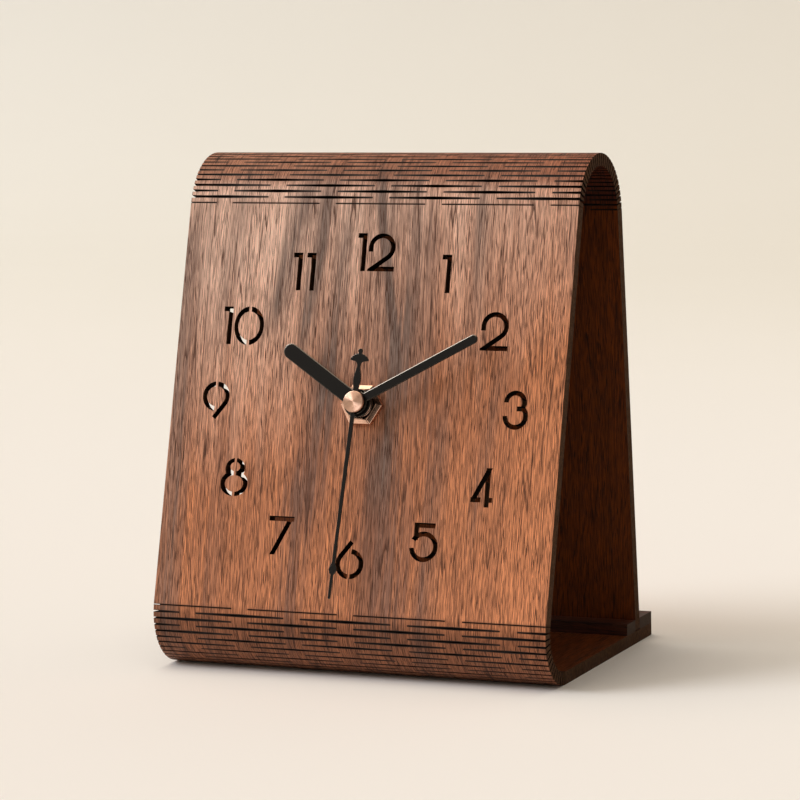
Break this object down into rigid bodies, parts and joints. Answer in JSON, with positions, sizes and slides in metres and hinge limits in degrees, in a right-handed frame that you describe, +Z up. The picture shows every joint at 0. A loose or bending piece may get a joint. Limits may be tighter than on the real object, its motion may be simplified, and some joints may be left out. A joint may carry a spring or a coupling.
{
  "type": "wooden desk clock",
  "caption": "Desk clock folded from a kerfed walnut-veneered sheet: stencil-cut numerals, black baton hands, brass nut and a battery quartz movement behind the leaning front panel.",
  "frame": {"origin": "centre of the base's flat underside", "axes": "+Z up, dial faces -Y leaning back at its head, +X to the right as seen from the front"},
  "size_m": [0.13, 0.1035, 0.1582],
  "materials": {
    "walnut_veneer": "satin walnut veneer with char-brown laser-cut edges",
    "walnut_strip": "satin walnut strip",
    "polished_brass": "bright turned brass",
    "neck_brass": "plain threaded brass",
    "black_rubber": "matte",
    "black_case_plastic": "fine moulded texture",
    "black_hand_paint": "satin black paint on sheet aluminium",
    "acetal_white": "moulded acetal",
    "bridge_plastic": "moulded",
    "steel_plain": "plain zinc-plated steel",
    "nickel_iron": "annealed nickel-iron plate",
    "magnet_grey": "sintered magnet",
    "enamelled_copper": "enamelled wire",
    "bobbin_plastic": "moulded",
    "board_laminate": "phenolic laminate",
    "chip_epoxy": "poured epoxy",
    "crystal_can": "drawn can",
    "contact_nickel": "nickel-plated spring strip",
    "cell_sleeve": "plain shrink sleeve"
  },
  "bodies": {
    "case": {"bent_sheet": "walnut_veneer", "foot_strip_front": "walnut_strip", "foot_strip_rear": "walnut_strip", "threaded_neck": "neck_brass", "hex_nut": "polished_brass", "rubber_gasket": "black_rubber", "front_shell": "black_case_plastic", "rear_cover": "black_case_plastic", "train_bridge": "bridge_plastic", "bridge_screws": "steel_plain", "stator": "nickel_iron", "coil_core": "nickel_iron", "coil_bobbin": "bobbin_plastic", "coil_winding": "enamelled_copper", "circuit_board": "board_laminate", "quartz_crystal": "crystal_can", "chip_cover": "chip_epoxy", "contact_positive": "contact_nickel", "contact_negative": "contact_nickel"},
    "second": {"second_wheel": "acetal_white", "second_arbor": "steel_plain", "second_hand": "black_hand_paint", "hand_cap": "polished_brass"},
    "third": {"third_wheel": "acetal_white"},
    "intermediate": {"intermediate_wheel": "acetal_white"},
    "rotor": {"rotor_pinion": "acetal_white", "rotor_magnet": "magnet_grey"},
    "centre": {"centre_wheel": "acetal_white"},
    "minute": {"minute_tube": "neck_brass", "minute_hand": "black_hand_paint"},
    "motion": {"motion_wheel": "acetal_white"},
    "hour": {"hour_wheel": "acetal_white", "hour_hand": "black_hand_paint"},
    "knob": {"setting_knob": "black_case_plastic"},
    "battery": {"battery_cell": "cell_sleeve"}
  },
  "joints": [
    {"name": "second_hand_turn", "type": "hinge", "parent": "case", "child": "second", "pos_m": [0, -0.04012, 0.08286], "axis": [0, 0.9641, -0.2656], "continuous": true},
    {"name": "third_wheel_turn", "type": "hinge", "parent": "case", "child": "third", "pos_m": [-0.00624, -0.03917, 0.08633], "axis": [0, 0.9641, -0.2656], "continuous": true},
    {"name": "intermediate_wheel_turn", "type": "hinge", "parent": "case", "child": "intermediate", "pos_m": [0.00463, -0.03866, 0.08818], "axis": [0, 0.9641, -0.2656], "continuous": true},
    {"name": "rotor_turn", "type": "hinge", "parent": "case", "child": "rotor", "pos_m": [0.01139, -0.038, 0.09055], "axis": [0, 0.9641, -0.2656], "continuous": true},
    {"name": "centre_wheel_turn", "type": "hinge", "parent": "case", "child": "centre", "pos_m": [0, -0.04012, 0.08286], "axis": [0, 0.9641, -0.2656], "continuous": true},
    {"name": "minute_hand_turn", "type": "hinge", "parent": "case", "child": "minute", "pos_m": [0, -0.04012, 0.08286], "axis": [0, 0.9641, -0.2656], "continuous": true},
    {"name": "motion_wheel_turn", "type": "hinge", "parent": "case", "child": "motion", "pos_m": [-0.0059, -0.04122, 0.07888], "axis": [0, 0.9641, -0.2656], "continuous": true},
    {"name": "hour_hand_turn", "type": "hinge", "parent": "case", "child": "hour", "pos_m": [0, -0.04012, 0.08286], "axis": [0, 0.9641, -0.2656], "continuous": true},
    {"name": "setting_knob_turn", "type": "hinge", "parent": "case", "child": "knob", "pos_m": [-0.01307, -0.04105, 0.07949], "axis": [0, 0.9641, -0.2656], "continuous": true},
    {"name": "battery_slide", "type": "slide", "parent": "case", "child": "battery", "axis": [0, 0.9641, -0.2656], "range_m": [0, 0.025]}
  ],
  "couplings": [
    {"joint": "third_wheel_turn", "follows": "second_hand_turn", "ratio": -0.13333},
    {"joint": "intermediate_wheel_turn", "follows": "second_hand_turn", "ratio": -5},
    {"joint": "rotor_turn", "follows": "second_hand_turn", "ratio": 30},
    {"joint": "centre_wheel_turn", "follows": "second_hand_turn", "ratio": 0.016667},
    {"joint": "motion_wheel_turn", "follows": "minute_hand_turn", "ratio": -0.33333},
    {"joint": "hour_hand_turn", "follows": "minute_hand_turn", "ratio": 0.083333},
    {"joint": "setting_knob_turn", "follows": "minute_hand_turn", "ratio": 1}
  ]
}
